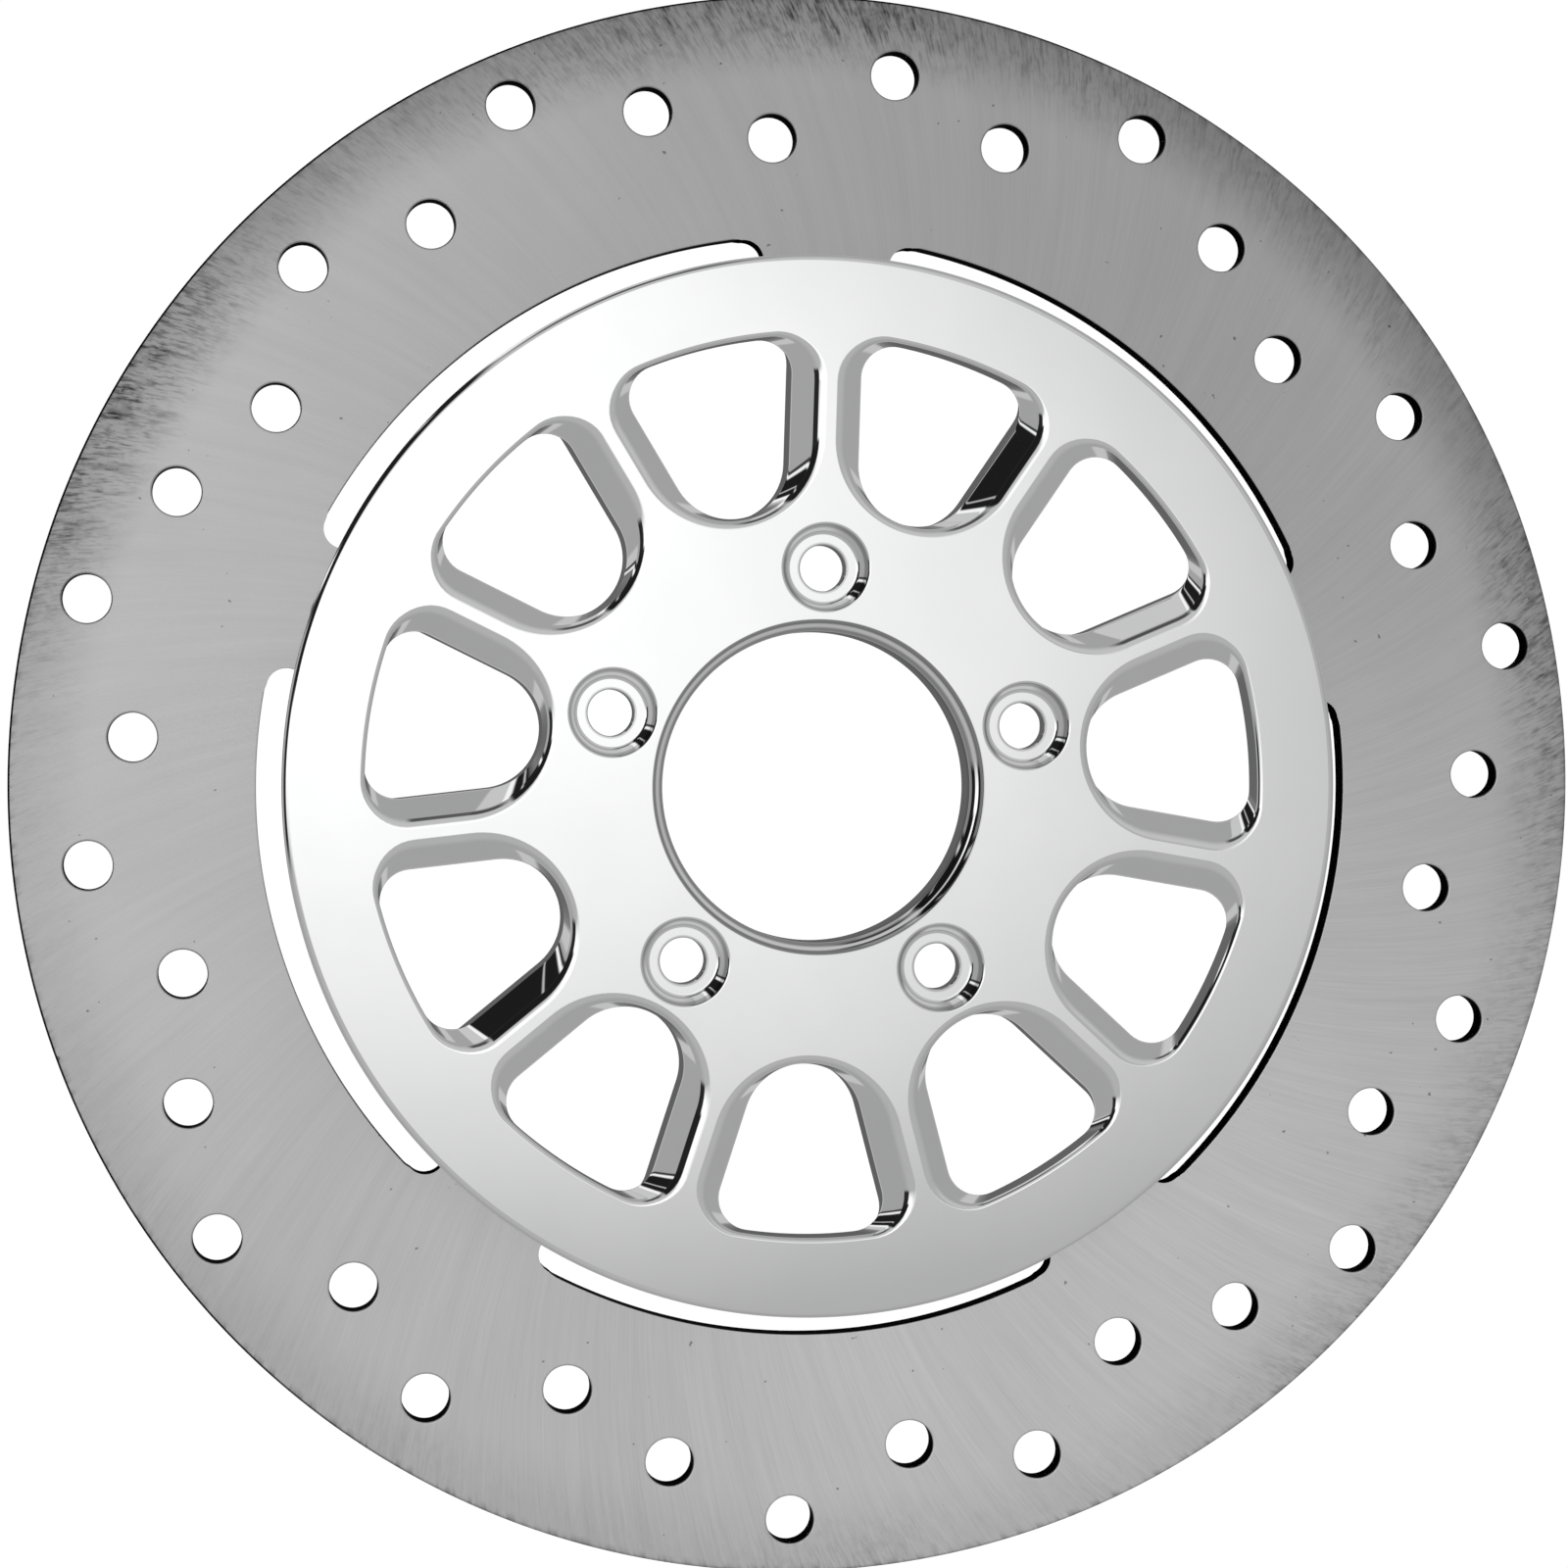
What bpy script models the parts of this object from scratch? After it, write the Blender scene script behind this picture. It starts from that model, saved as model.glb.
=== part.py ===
"""Floating brake disc for a motorcycle wheel, lying flat with its outer face up.

A drilled stainless friction ring hangs on a chrome-plated billet carrier. Five
lugs on the ring reach inward behind the carrier's rim. At each lug a flanged
drive bobbin passes through the ring, a wave washer takes up the float between
the bobbin's flange and the ring, and a low button-head screw with a hardened
washer clamps the bobbin to the back of the rim.

The origin is on the disc's axis, on the hub's mounting face. +Z points out of
the outer (chrome) face. All sizes are in metres.
"""
import math

import bmesh
import bpy
from mathutils import Matrix

# ---- driving dimensions -----------------------------------------------------
GAP = 0.0003                     # clearance between pieces that touch

# carrier
FRONT_Z = 0.0210                 # outer face, above the mounting face
BORE_R = 0.0293
LIP_W = 0.0022                   # chamfer on the bore's front edge: width and depth
LIP_D = 0.0029
LIP_SOFT = 0.0003                # rounding at the chamfer's two edges
BORE_RELIEF_R = 0.0325           # the bore opens out behind its short front land
BORE_RELIEF_Z = 0.0095
HUB_BACK_R = 0.0505              # mounting boss on the back
BACK_Z = 0.0062                  # back of the spokes
SKIRT_R = 0.0885                 # outside of the locating skirt behind the windows
RIM_OUT_R = 0.0999
RIM_BACK_Z = 0.0109
RIM_ROUND = 0.0012
CARRIER_STEPS = 66

# wheel bolt holes, 3.25 in bolt circle
BOLT_COUNT = 5
BOLT_CIRCLE_R = 0.041275
BOLT_PHASE = math.radians(88.2)
BOLT_HOLE_R = 0.00436
BOLT_SEAT_R = 0.0067
BOLT_MOUTH_R = 0.0081
BOLT_SEAT_DEPTH = 0.0042
BOLT_RELIEF_R = 0.0070           # wider clearance drilled from the back
BOLT_RELIEF_Z = 0.0125

# windows between the spokes
WINDOWS = 11
SPOKE_PHASE = math.radians(88.2)
WINDOW_FRONT = (0.0518, 0.0848, 0.0024, 0.0080)   # inner r, outer r, half spoke, corner r
WINDOW_BACK = (0.0525, 0.0848, 0.0067, 0.0060)
WINDOW_LOW = (0.0525, 0.0872, 0.0067, 0.0060)     # undercut behind the rim's inner edge
WINDOW_DRAFT_DEPTH = 0.0066      # sloped part of the spokes' flanks
WINDOW_LOW_DEPTH = 0.0078        # where the undercut reaches its full width
WINDOW_ARC = 4                   # segments in each corner

# friction ring
DISC_R = 0.1500
RING_T = 0.0050
RING_FRONT_Z = RIM_BACK_Z - GAP
RING_BACK_Z = RING_FRONT_Z - RING_T
RING_IN_R = 0.1046
RING_STEPS = 100
HOLES = 35
HOLE_R = 0.00455
HOLE_PHASE = math.radians(0.9)
HOLE_CIRCLES = (0.1311, 0.1400, 0.1276, 0.1362, 0.1231)
HOLE_STEPS = 12

# lugs and their hardware
LUGS = 5
LUG_PHASE = math.radians(88.3)
LUG_TIP_R = 0.0890
LUG_HALF = 0.0118                # half width
LUG_ROOT_ROUND = 0.0040
LUG_TIP_ROUND = 0.0085
PIN_R = 0.0955                   # radius of the circle of bobbins
PIN_HOLE_R = 0.0044
BOBBIN_R = 0.0040
BOBBIN_BORE_R = 0.0028
BOBBIN_FLANGE_R = 0.0064
BOBBIN_FLANGE_T = 0.0009
WAVE_R_IN = 0.0044
WAVE_R_OUT = 0.0062
WAVE_T = 0.0004
WAVE_H = 0.0008                  # height over the waves
WASHER_R = 0.0056
WASHER_T = 0.0007
SCREW_HEAD_R = 0.00475
SCREW_HEAD_H = 0.0018
SCREW_R = 0.0025
SCREW_TIP_Z = 0.0174
SCREW_HOLE_TOP_Z = 0.0182
SOCKET_AF = 0.0030
SOCKET_DEPTH = 0.0010
STACK_GAP = 0.0002               # between flange, washer and head, which are clamped
FINE_STEPS = 16

FLOAT_SPACE = WAVE_H + 2 * GAP   # between the ring's back and the bobbin's flange
FLANGE_TOP_Z = RING_BACK_Z - FLOAT_SPACE
FLANGE_BOTTOM_Z = FLANGE_TOP_Z - BOBBIN_FLANGE_T
WASHER_TOP_Z = FLANGE_BOTTOM_Z - STACK_GAP
WASHER_BOTTOM_Z = WASHER_TOP_Z - WASHER_T
HEAD_TOP_Z = WASHER_BOTTOM_Z - STACK_GAP
HEAD_BOTTOM_Z = HEAD_TOP_Z - SCREW_HEAD_H


# ---- scene ------------------------------------------------------------------
for old in list(bpy.data.objects):
    bpy.data.objects.remove(old, do_unlink=True)

DISC = bpy.data.collections.new("brake_disc_rotor")
CUTTERS = bpy.data.collections.new("carrier_cutters")
SOCKETS = bpy.data.collections.new("socket_cutters")
for group in (DISC, CUTTERS, SOCKETS):
    bpy.context.scene.collection.children.link(group)
CUTTERS.hide_render = True
SOCKETS.hide_render = True


def metal(name, colour, roughness):
    """A Principled metal."""
    made = bpy.data.materials.new(name)
    made.use_nodes = True
    shader = made.node_tree.nodes["Principled BSDF"]
    shader.inputs["Base Color"].default_value = (*colour, 1.0)
    shader.inputs["Metallic"].default_value = 1.0
    shader.inputs["Roughness"].default_value = roughness
    made.diffuse_color = (*colour, 1.0)
    return made


CHROME = metal("chrome_plate", (0.86, 0.87, 0.88), 0.06)
GROUND = metal("ground_stainless", (0.53, 0.53, 0.53), 0.34)
HARDENED = metal("hardened_steel", (0.42, 0.42, 0.43), 0.30)
SPRING = metal("spring_steel", (0.36, 0.37, 0.40), 0.28)
ZINC = metal("zinc_plate", (0.66, 0.67, 0.70), 0.26)
SCREW_STEEL = metal("screw_steel", (0.30, 0.30, 0.31), 0.32)


def add(name, mesh, material=None, group=DISC, location=(0.0, 0.0, 0.0), turn=0.0):
    piece = bpy.data.objects.new(name, mesh)
    piece.location = location
    piece.rotation_euler = (0.0, 0.0, turn)
    group.objects.link(piece)
    if material is not None and not mesh.materials:
        mesh.materials.append(material)
    if group is not DISC:
        piece.hide_render = True
        piece.display_type = "WIRE"
    return piece


def soften(mesh, degrees=35.0):
    mesh.shade_smooth()
    mesh.set_sharp_from_angle(angle=math.radians(degrees))


def polar(radius, angle, z=0.0):
    return (radius * math.cos(angle), radius * math.sin(angle), z)


def arc(centre, radius, start, end, steps):
    """Points along an arc, both ends included."""
    return [
        (
            centre[0] + radius * math.cos(start + (end - start) * i / steps),
            centre[1] + radius * math.sin(start + (end - start) * i / steps),
        )
        for i in range(steps + 1)
    ]


def profile_mesh(name, points, closed):
    """A profile in the XZ plane, for a Screw modifier."""
    mesh = bpy.data.meshes.new(name)
    edges = [(i, i + 1) for i in range(len(points) - 1)]
    if closed:
        edges.append((len(points) - 1, 0))
    mesh.from_pydata([(r, 0.0, z) for r, z in points], edges, [])
    return mesh


def screw(piece, steps):
    """Turns a piece's profile round its own Z axis."""
    turned = piece.modifiers.new("Turn", "SCREW")
    turned.axis = "Z"
    turned.angle = math.tau
    turned.steps = steps
    turned.render_steps = steps
    turned.use_merge_vertices = True
    turned.merge_threshold = 0.00001
    turned.use_smooth_shade = False
    return turned


def turned_mesh(name, points, steps, closed=True):
    """A turned solid as a finished mesh: the profile runs down its outer side."""
    temp = bpy.data.objects.new(name + "_profile", profile_mesh(name, points, closed))
    bpy.context.scene.collection.objects.link(temp)
    screw(temp, steps)
    graph = bpy.context.evaluated_depsgraph_get()
    mesh = bpy.data.meshes.new_from_object(temp.evaluated_get(graph))
    mesh.name = name
    bpy.data.objects.remove(temp, do_unlink=True)
    made = bmesh.new()
    made.from_mesh(mesh)
    bmesh.ops.remove_doubles(made, verts=made.verts, dist=0.000005)
    bmesh.ops.recalc_face_normals(made, faces=made.faces)
    made.to_mesh(mesh)
    made.free()
    return mesh


def plate_mesh(name, outlines, thickness, z_mid):
    """A flat plate from a 2D curve: the first outline is the edge, the rest are holes."""
    curve = bpy.data.curves.new(name + "_outline", "CURVE")
    curve.dimensions = "2D"
    curve.fill_mode = "BOTH"
    curve.extrude = thickness / 2
    for outline in outlines:
        spline = curve.splines.new("POLY")
        spline.points.add(len(outline) - 1)
        for point, (x, y) in zip(spline.points, outline):
            point.co = (x, y, 0.0, 1.0)
        spline.use_cyclic_u = True
    temp = bpy.data.objects.new(name + "_curve", curve)
    bpy.context.scene.collection.objects.link(temp)
    graph = bpy.context.evaluated_depsgraph_get()
    mesh = bpy.data.meshes.new_from_object(temp.evaluated_get(graph))
    mesh.name = name
    bpy.data.objects.remove(temp, do_unlink=True)
    bpy.data.curves.remove(curve)
    made = bmesh.new()
    made.from_mesh(mesh)
    bmesh.ops.remove_doubles(made, verts=made.verts, dist=0.000005)
    bmesh.ops.dissolve_degenerate(made, edges=made.edges, dist=0.000001)
    bmesh.ops.recalc_face_normals(made, faces=made.faces)
    bmesh.ops.translate(made, vec=(0.0, 0.0, z_mid), verts=made.verts)
    made.to_mesh(mesh)
    made.free()
    return mesh


def loft_mesh(name, sections):
    """A closed loft through outlines of equal length, each given as (z, points)."""
    made = bmesh.new()
    rows = [[made.verts.new((x, y, z)) for x, y in points] for z, points in sections]
    count = len(rows[0])
    for low, high in zip(rows, rows[1:]):
        for i in range(count):
            j = (i + 1) % count
            made.faces.new((low[i], low[j], high[j], high[i]))
    made.faces.new(rows[0])
    made.faces.new(rows[-1])
    bmesh.ops.recalc_face_normals(made, faces=made.faces)
    mesh = bpy.data.meshes.new(name)
    made.to_mesh(mesh)
    made.free()
    return mesh


# ---- window outline ---------------------------------------------------------
def window_outline(inner_r, outer_r, half_spoke, corner_r, steps=WINDOW_ARC):
    """A window centred on +X. Its flanks run parallel to the two spokes beside
    it, its inner end is one arc tangent to both flanks, and its outer edge
    follows the rim with a rounded corner at each end."""
    half = math.pi / WINDOWS
    centre = (inner_r - half_spoke) / (1 - math.sin(half))
    end_r = centre - inner_r
    inset = half_spoke + corner_r
    along = math.sqrt((outer_r - corner_r) ** 2 - inset**2)
    corner = (
        along * math.cos(half) + inset * math.sin(half),
        along * math.sin(half) - inset * math.cos(half),
    )
    reach = math.atan2(corner[1], corner[0])
    side = half + math.pi / 2
    points = arc((0.0, 0.0), outer_r, -reach, reach, steps)
    points += arc(corner, corner_r, reach, side, steps)[1:]
    points += arc((centre, 0.0), end_r, side, math.tau - side, 2 * steps)
    points += arc((corner[0], -corner[1]), corner_r, -side, -reach, steps)[:-1]
    return points


def blend(first, second, share):
    return [
        (a[0] + (b[0] - a[0]) * share, a[1] + (b[1] - a[1]) * share)
        for a, b in zip(first, second)
    ]


# ---- carrier ----------------------------------------------------------------
def carrier():
    lip = [
        (BORE_R, FRONT_Z - LIP_D - LIP_SOFT),
        (BORE_R + LIP_SOFT, FRONT_Z - LIP_D + LIP_SOFT),
        (BORE_R + LIP_W - LIP_SOFT, FRONT_Z - LIP_SOFT),
        (BORE_R + LIP_W + LIP_SOFT, FRONT_Z),
    ]
    edge = [
        (RIM_OUT_R - RIM_ROUND + RIM_ROUND * math.sin(a), FRONT_Z - RIM_ROUND + RIM_ROUND * math.cos(a))
        for a in (0.0, math.radians(45), math.radians(90))
    ]
    profile = lip + edge + [
        (RIM_OUT_R, RIM_BACK_Z + 0.0005),
        (RIM_OUT_R - 0.0005, RIM_BACK_Z),
        (SKIRT_R, RIM_BACK_Z),
        (SKIRT_R, BACK_Z + 0.0003),
        (SKIRT_R - 0.0003, BACK_Z),
        (HUB_BACK_R + 0.0006, BACK_Z),
        (HUB_BACK_R, 0.0006),
        (HUB_BACK_R - 0.0006, 0.0),
        (BORE_RELIEF_R + 0.0007, 0.0),
        (BORE_RELIEF_R, 0.0007),
        (BORE_RELIEF_R, BORE_RELIEF_Z),
        (BORE_R, BORE_RELIEF_Z),
    ]
    piece = add("carrier", profile_mesh("carrier", profile, True), CHROME)
    screw(piece, CARRIER_STEPS)

    # windows
    front = window_outline(*WINDOW_FRONT)
    back = window_outline(*WINDOW_BACK)
    low = window_outline(*WINDOW_LOW)
    over = 0.0015
    cutter = loft_mesh(
        "window_cutter",
        [
            (FRONT_Z + over, blend(front, back, -over / WINDOW_DRAFT_DEPTH)),
            (FRONT_Z - WINDOW_DRAFT_DEPTH, back),
            (FRONT_Z - WINDOW_LOW_DEPTH, low),
            (BACK_Z - 0.003, low),
        ],
    )
    pitch = math.tau / WINDOWS
    for i in range(WINDOWS):
        add(f"window_cutter_{i + 1}", cutter, None, CUTTERS, turn=SPOKE_PHASE + pitch * (i + 0.5))

    # wheel bolt holes, counterbored from the front and relieved from the back
    bolt = turned_mesh(
        "bolt_cutter",
        [
            (0.0, FRONT_Z + 0.001),
            (BOLT_MOUTH_R, FRONT_Z + 0.001),
            (BOLT_MOUTH_R, FRONT_Z - 0.0006),
            (BOLT_SEAT_R, FRONT_Z - BOLT_SEAT_DEPTH),
            (BOLT_HOLE_R, FRONT_Z - BOLT_SEAT_DEPTH),
            (BOLT_HOLE_R, BOLT_RELIEF_Z),
            (BOLT_RELIEF_R, BOLT_RELIEF_Z - 0.0008),
            (BOLT_RELIEF_R, -0.001),
            (0.0, -0.001),
        ],
        FINE_STEPS,
        closed=False,
    )
    for i in range(BOLT_COUNT):
        angle = BOLT_PHASE - math.tau * i / BOLT_COUNT
        add(f"bolt_cutter_{i + 1}", bolt, None, CUTTERS, polar(BOLT_CIRCLE_R, angle), angle)

    # blind holes in the rim for the bobbins' screws
    depth = SCREW_HOLE_TOP_Z - (RIM_BACK_Z - 0.002)
    made = bmesh.new()
    bmesh.ops.create_cone(
        made, cap_ends=True, segments=12, radius1=BOBBIN_BORE_R, radius2=BOBBIN_BORE_R,
        depth=depth, matrix=Matrix.Translation((0.0, 0.0, SCREW_HOLE_TOP_Z - depth / 2)),
    )
    pilot = bpy.data.meshes.new("screw_hole_cutter")
    made.to_mesh(pilot)
    made.free()
    for i in range(LUGS):
        angle = LUG_PHASE - math.tau * i / LUGS
        add(f"screw_hole_cutter_{i + 1}", pilot, None, CUTTERS, polar(PIN_R, angle), angle)

    cut = piece.modifiers.new("Openings", "BOOLEAN")
    cut.operation = "DIFFERENCE"
    cut.operand_type = "COLLECTION"
    cut.collection = CUTTERS
    cut.solver = "EXACT"
    return piece


# ---- friction ring ----------------------------------------------------------
def ring_inner_outline():
    """The ring's inner edge: five arcs between five lugs that reach inward."""
    points = []
    pitch = math.tau / LUGS
    for i in range(LUGS):
        middle = LUG_PHASE + pitch * i
        # one lug in its own frame: x outward along its middle, y across it
        root_y = LUG_HALF + LUG_ROOT_ROUND
        root_x = math.sqrt((RING_IN_R - LUG_ROOT_ROUND) ** 2 - root_y**2)
        root_a = math.atan2(root_y, root_x)
        lug = arc((root_x, -root_y), LUG_ROOT_ROUND, -root_a, math.pi / 2, 4)
        lug += arc((LUG_TIP_R + LUG_TIP_ROUND, -(LUG_HALF - LUG_TIP_ROUND)), LUG_TIP_ROUND, 3 * math.pi / 2, math.pi, 5)
        lug += arc((LUG_TIP_R + LUG_TIP_ROUND, LUG_HALF - LUG_TIP_ROUND), LUG_TIP_ROUND, math.pi, math.pi / 2, 5)
        lug += arc((root_x, root_y), LUG_ROOT_ROUND, -math.pi / 2, root_a, 4)
        c, s = math.cos(middle), math.sin(middle)
        points += [(x * c - y * s, x * s + y * c) for x, y in lug]
        start, end = middle + root_a, middle + pitch - root_a
        points += arc((0.0, 0.0), RING_IN_R, start, end, 14)[1:-1]
    return points


def friction_ring():
    outer = [polar(DISC_R, math.tau * i / RING_STEPS)[:2] for i in range(RING_STEPS)]
    outlines = [outer, ring_inner_outline()]
    for i in range(HOLES):
        angle = HOLE_PHASE + math.tau * i / HOLES
        x, y, _ = polar(HOLE_CIRCLES[i % len(HOLE_CIRCLES)], angle)
        outlines.append([
            (x + HOLE_R * math.cos(math.tau * j / HOLE_STEPS), y + HOLE_R * math.sin(math.tau * j / HOLE_STEPS))
            for j in range(HOLE_STEPS)
        ])
    for i in range(LUGS):
        x, y, _ = polar(PIN_R, LUG_PHASE - math.tau * i / LUGS)
        outlines.append([
            (x + PIN_HOLE_R * math.cos(math.tau * j / FINE_STEPS), y + PIN_HOLE_R * math.sin(math.tau * j / FINE_STEPS))
            for j in range(FINE_STEPS)
        ])
    mesh = plate_mesh("friction_ring", outlines, RING_T, RING_BACK_Z + RING_T / 2)
    soften(mesh)
    return add("friction_ring", mesh, GROUND)


# ---- hardware at each lug ---------------------------------------------------
def bobbin_mesh():
    return turned_mesh(
        "drive_bobbin",
        [
            (BOBBIN_BORE_R, RIM_BACK_Z - GAP),
            (BOBBIN_R - 0.0003, RIM_BACK_Z - GAP),
            (BOBBIN_R, RIM_BACK_Z - GAP - 0.0003),
            (BOBBIN_R, FLANGE_TOP_Z),
            (BOBBIN_FLANGE_R, FLANGE_TOP_Z),
            (BOBBIN_FLANGE_R, FLANGE_BOTTOM_Z),
            (BOBBIN_BORE_R, FLANGE_BOTTOM_Z),
        ],
        FINE_STEPS,
    )


def wave_washer_mesh():
    """A flat ring of spring steel bent into three waves."""
    middle = FLANGE_TOP_Z + GAP + WAVE_H / 2
    mesh = turned_mesh(
        "wave_washer",
        [
            (WAVE_R_IN, middle + WAVE_T / 2),
            (WAVE_R_OUT, middle + WAVE_T / 2),
            (WAVE_R_OUT, middle - WAVE_T / 2),
            (WAVE_R_IN, middle - WAVE_T / 2),
        ],
        24,
    )
    swing = (WAVE_H - WAVE_T) / 2
    for vertex in mesh.vertices:
        vertex.co.z += swing * math.cos(3 * math.atan2(vertex.co.y, vertex.co.x))
    return mesh


def washer_mesh():
    return turned_mesh(
        "retaining_washer",
        [
            (BOBBIN_BORE_R, WASHER_TOP_Z),
            (WASHER_R, WASHER_TOP_Z),
            (WASHER_R, WASHER_BOTTOM_Z),
            (BOBBIN_BORE_R, WASHER_BOTTOM_Z),
        ],
        FINE_STEPS,
    )


def screw_mesh():
    """A low button-head screw, head down, without its socket."""
    dome = [
        (SCREW_HEAD_R, HEAD_TOP_Z - 0.0004),
        (SCREW_HEAD_R * 0.93, HEAD_TOP_Z - 0.0010),
        (SCREW_HEAD_R * 0.78, HEAD_TOP_Z - 0.0015),
        (SCREW_HEAD_R * 0.58, HEAD_BOTTOM_Z),
    ]
    return turned_mesh(
        "button_head_screw",
        [(0.0, SCREW_TIP_Z), (SCREW_R - 0.0006, SCREW_TIP_Z), (SCREW_R, SCREW_TIP_Z - 0.0006),
         (SCREW_R, HEAD_TOP_Z), (SCREW_HEAD_R, HEAD_TOP_Z)] + dome + [(0.0, HEAD_BOTTOM_Z)],
        FINE_STEPS,
        closed=False,
    )


def hardware():
    kinds = (
        ("drive_bobbin", bobbin_mesh(), HARDENED),
        ("wave_washer", wave_washer_mesh(), SPRING),
        ("retaining_washer", washer_mesh(), ZINC),
        ("button_head_screw", screw_mesh(), SCREW_STEEL),
    )
    for _, mesh, _ in kinds:
        soften(mesh)
    made = bmesh.new()
    bmesh.ops.create_cone(
        made, cap_ends=True, segments=6, radius1=SOCKET_AF / math.sqrt(3), radius2=SOCKET_AF / math.sqrt(3),
        depth=2 * SOCKET_DEPTH, matrix=Matrix.Translation((0.0, 0.0, HEAD_BOTTOM_Z)),
    )
    socket = bpy.data.meshes.new("socket_cutter")
    made.to_mesh(socket)
    made.free()
    for i in range(LUGS):
        angle = LUG_PHASE - math.tau * i / LUGS
        place = polar(PIN_R, angle)
        for kind, mesh, material in kinds:
            piece = add(f"{kind}_{i + 1}", mesh, material, DISC, place, angle)
            if kind == "button_head_screw":
                key = add(f"socket_cutter_{i + 1}", socket, None, SOCKETS, place, angle)
                cut = piece.modifiers.new("Socket", "BOOLEAN")
                cut.operation = "DIFFERENCE"
                cut.object = key
                cut.solver = "EXACT"


carrier()
friction_ring()
hardware()
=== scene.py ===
"""Looks of the floating brake disc: finished meshes, metals, floor, light and camera."""
import math

import bmesh
import bpy
import numpy as np
from mathutils import Matrix, Vector
from mathutils.geometry import delaunay_2d_cdt


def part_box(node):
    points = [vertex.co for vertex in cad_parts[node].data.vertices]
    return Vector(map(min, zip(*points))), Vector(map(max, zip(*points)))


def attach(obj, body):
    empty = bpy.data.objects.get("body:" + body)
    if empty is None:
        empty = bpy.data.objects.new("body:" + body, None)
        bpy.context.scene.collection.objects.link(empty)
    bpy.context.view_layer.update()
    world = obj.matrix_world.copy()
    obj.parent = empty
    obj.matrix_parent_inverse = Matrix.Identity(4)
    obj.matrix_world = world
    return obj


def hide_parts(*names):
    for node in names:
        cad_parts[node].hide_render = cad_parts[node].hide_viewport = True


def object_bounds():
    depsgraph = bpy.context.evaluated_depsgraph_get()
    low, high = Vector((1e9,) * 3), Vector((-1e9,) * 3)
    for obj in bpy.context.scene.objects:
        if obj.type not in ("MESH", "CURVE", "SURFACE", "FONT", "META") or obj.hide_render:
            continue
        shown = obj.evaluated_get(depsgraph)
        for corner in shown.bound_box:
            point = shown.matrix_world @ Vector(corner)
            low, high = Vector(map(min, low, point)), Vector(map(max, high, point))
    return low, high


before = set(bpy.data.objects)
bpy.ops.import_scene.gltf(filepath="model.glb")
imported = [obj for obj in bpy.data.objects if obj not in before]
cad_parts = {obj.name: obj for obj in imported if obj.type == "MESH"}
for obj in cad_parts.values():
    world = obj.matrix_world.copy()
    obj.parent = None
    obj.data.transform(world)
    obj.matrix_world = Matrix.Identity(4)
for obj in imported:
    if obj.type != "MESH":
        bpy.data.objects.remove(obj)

CAD_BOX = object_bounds()
TAU = math.tau

# ---- sizes, in metres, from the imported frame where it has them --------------
CARRIER_LOW, CARRIER_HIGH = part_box("carrier")
RING_LOW, RING_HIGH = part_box("friction_ring")
FRONT_Z = CARRIER_HIGH.z
HUB_Z = CARRIER_LOW.z
RIM_OUT_R = (CARRIER_HIGH.x - CARRIER_LOW.x) / 2
DISC_R = (RING_HIGH.x - RING_LOW.x) / 2
RING_FRONT_Z = RING_HIGH.z
RING_BACK_Z = RING_LOW.z

BORE_R = 0.0293
LIP_W, LIP_D = 0.0022, 0.0029
BORE_RELIEF_R, BORE_RELIEF_Z = 0.0325, 0.0095
HUB_BACK_R = 0.0505
BACK_Z = 0.0062
SKIRT_R = 0.0885
RIM_BACK_Z = 0.0109

BOLT_CIRCLE_R, BOLT_PHASE = 0.041275, math.radians(88.2)
BOLT_HOLE_R, BOLT_SEAT_R, BOLT_MOUTH_R = 0.00436, 0.0067, 0.0081
BOLT_SEAT_DEPTH, BOLT_RELIEF_R, BOLT_RELIEF_Z = 0.0042, 0.0070, 0.0125

WINDOWS, SPOKE_PHASE = 11, math.radians(88.2)
WINDOW_FRONT = (0.0518, 0.0848, 0.0024, 0.0080)
WINDOW_BACK = (0.0525, 0.0848, 0.0067, 0.0060)
WINDOW_LOW = (0.0525, 0.0872, 0.0067, 0.0060)
DRAFT_DEPTH = 0.0066
UNDERCUT = 0.0012

RING_IN_R = 0.1046
HOLES, HOLE_R, HOLE_PHASE = 35, 0.00455, math.radians(0.9)
HOLE_CIRCLES = (0.1311, 0.1400, 0.1276, 0.1362, 0.1231)
LUGS, LUG_PHASE = 5, math.radians(88.3)
LUG_TIP_R, LUG_HALF, LUG_ROOT_ROUND, LUG_TIP_ROUND = 0.0890, 0.0118, 0.0040, 0.0085
PIN_R, PIN_HOLE_R = 0.0955, 0.0044


# ---- mesh tools -------------------------------------------------------------
def arc(centre, radius, start, end, steps):
    """Rows of (x, y, nx, ny) along an arc, the normal pointing away from its centre."""
    a = np.linspace(start, end, steps + 1)
    c, s = np.cos(a), np.sin(a)
    return np.c_[centre[0] + radius * c, centre[1] + radius * s, c, s]


def circle(radius, steps, centre=(0.0, 0.0)):
    return arc(centre, radius, 0.0, TAU, steps)[:-1]


def turned(rows, angle):
    c, s = math.cos(angle), math.sin(angle)
    turn = np.array([[c, s], [-s, c]])
    return np.c_[rows[:, :2] @ turn, rows[:, 2:] @ turn]


def between(a, b, steps):
    """Rows strictly between two rows, on a straight line."""
    t = np.arange(1, steps)[:, None] / steps
    return a * (1 - t) + b * t


def inside(points, loop):
    """Which plan points lie inside a closed loop."""
    x, y = points[:, 0][:, None], points[:, 1][:, None]
    x0, y0 = loop[:, 0][None], loop[:, 1][None]
    x1, y1 = np.roll(loop[:, 0], -1)[None], np.roll(loop[:, 1], -1)[None]
    cross = (y0 > y) != (y1 > y)
    with np.errstate(divide="ignore", invalid="ignore"):
        at = x0 + (y - y0) * (x1 - x0) / (y1 - y0)
    return (np.sum(cross & (x < at), axis=1) % 2) == 1


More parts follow.
